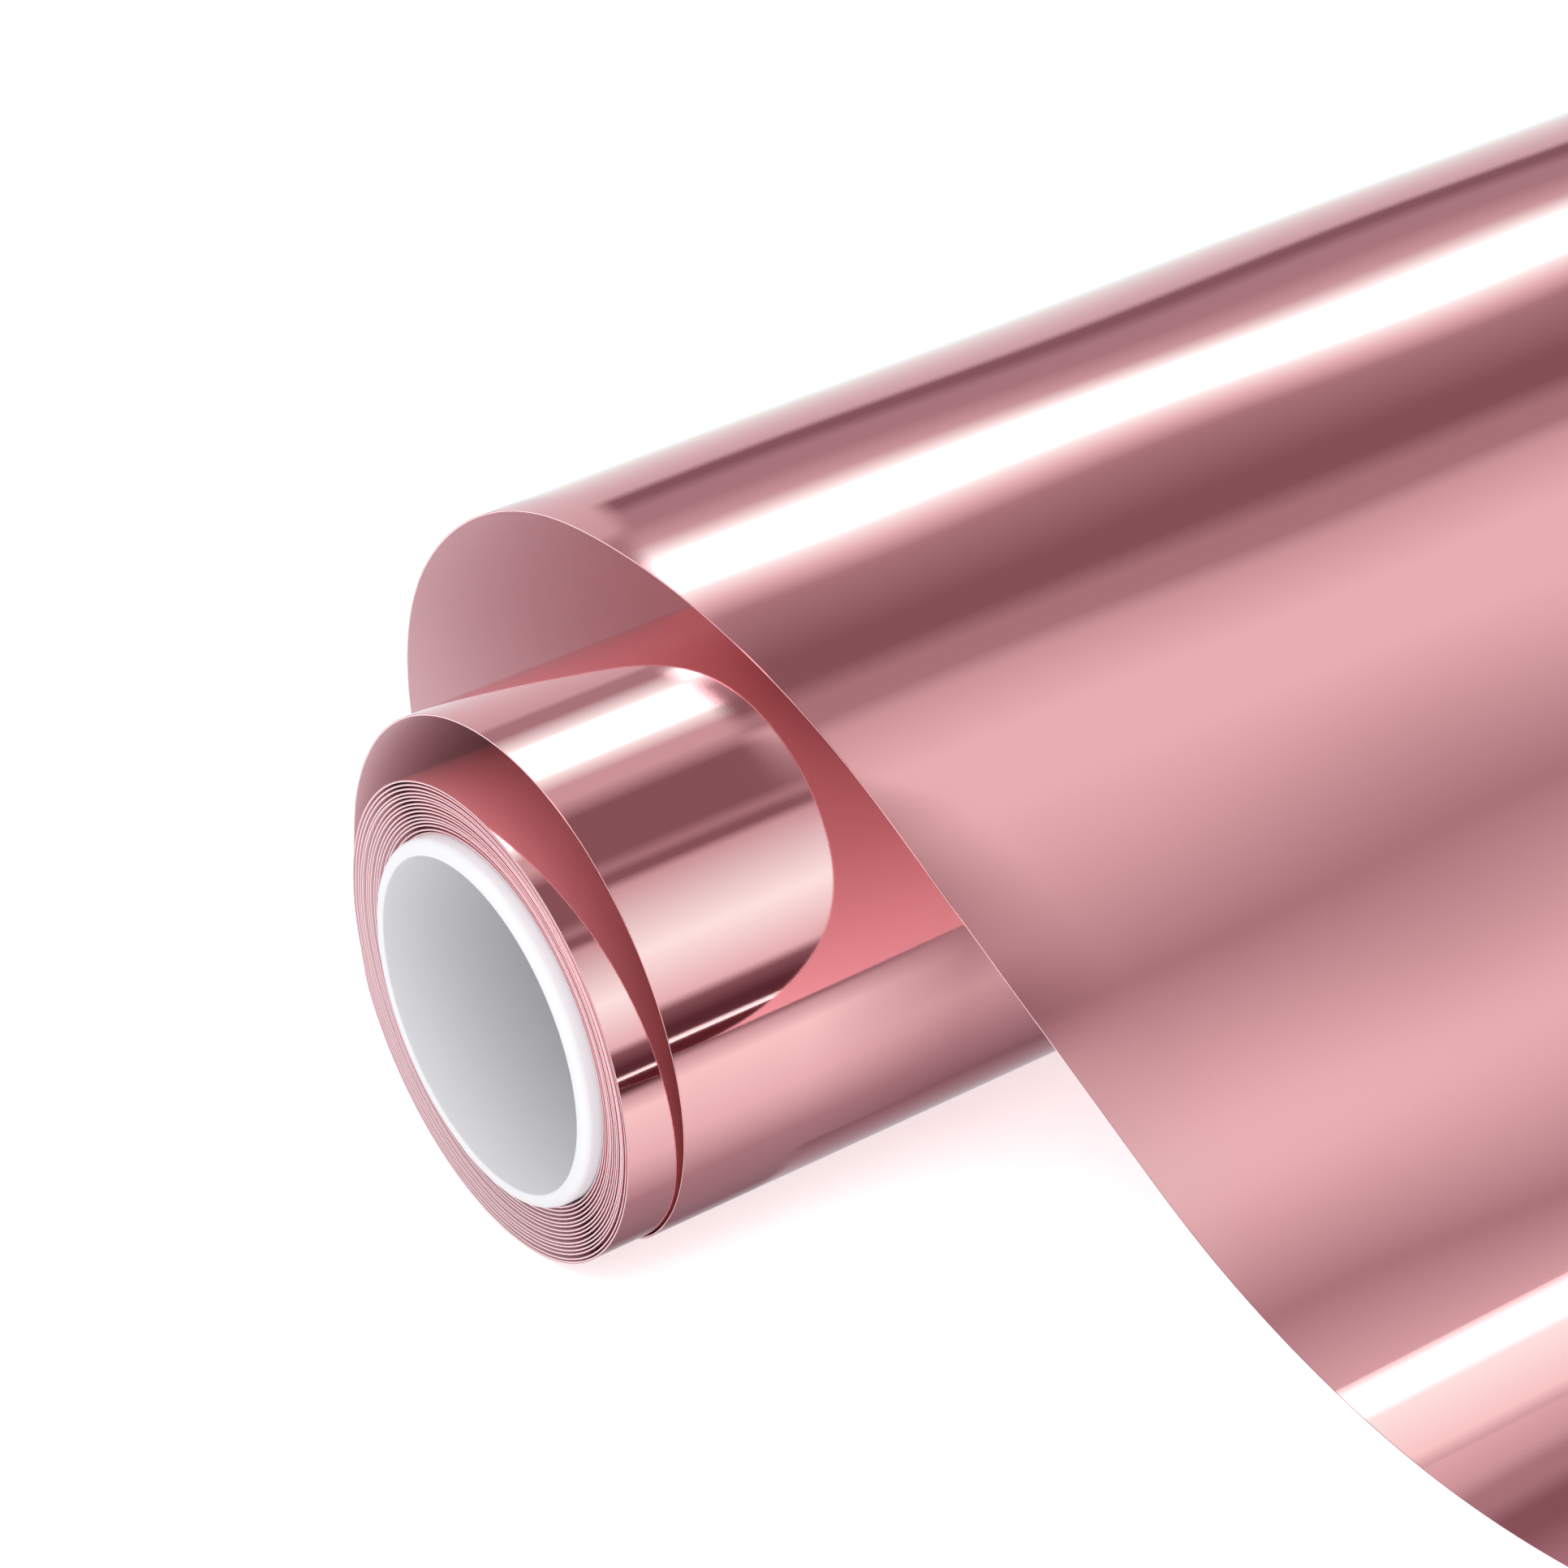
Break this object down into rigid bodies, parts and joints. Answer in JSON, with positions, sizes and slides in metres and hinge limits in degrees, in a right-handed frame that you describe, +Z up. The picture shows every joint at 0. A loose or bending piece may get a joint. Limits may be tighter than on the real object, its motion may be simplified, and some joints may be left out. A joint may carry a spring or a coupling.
{
  "type": "copper foil roll",
  "caption": "Wide roll of copper foil with a release liner on an open plastic core, its outer turns sprung loose and its free end swept down to the table.",
  "frame": {"origin": "middle of the core's bore, on its axis, halfway along the core", "axes": "+X along the core's bore, away from the end the loose web has slid from; +Z up from the surface the roll lies on; the free end of the web runs out towards -Y"},
  "size_m": [0.4105, 0.4097, 0.1398],
  "materials": {
    "core_plastic": "smooth white moulded plastic, low sheen",
    "start_tape": "translucent double-sided tape",
    "copper_foil": "rose copper foil, mirror to satin",
    "release_liner": "matt mauve-grey siliconed liner"
  },
  "bodies": {
    "root": {"core_tube": "core_plastic", "start_tape": "start_tape", "foil_winding": "copper_foil", "foil_inner_loop": "copper_foil", "foil_outer_loop": "copper_foil", "foil_free_sheet": "copper_foil", "liner_winding": "release_liner", "liner_inner_loop": "release_liner", "liner_outer_loop": "release_liner", "liner_free_sheet": "release_liner"}
  },
  "joints": []
}
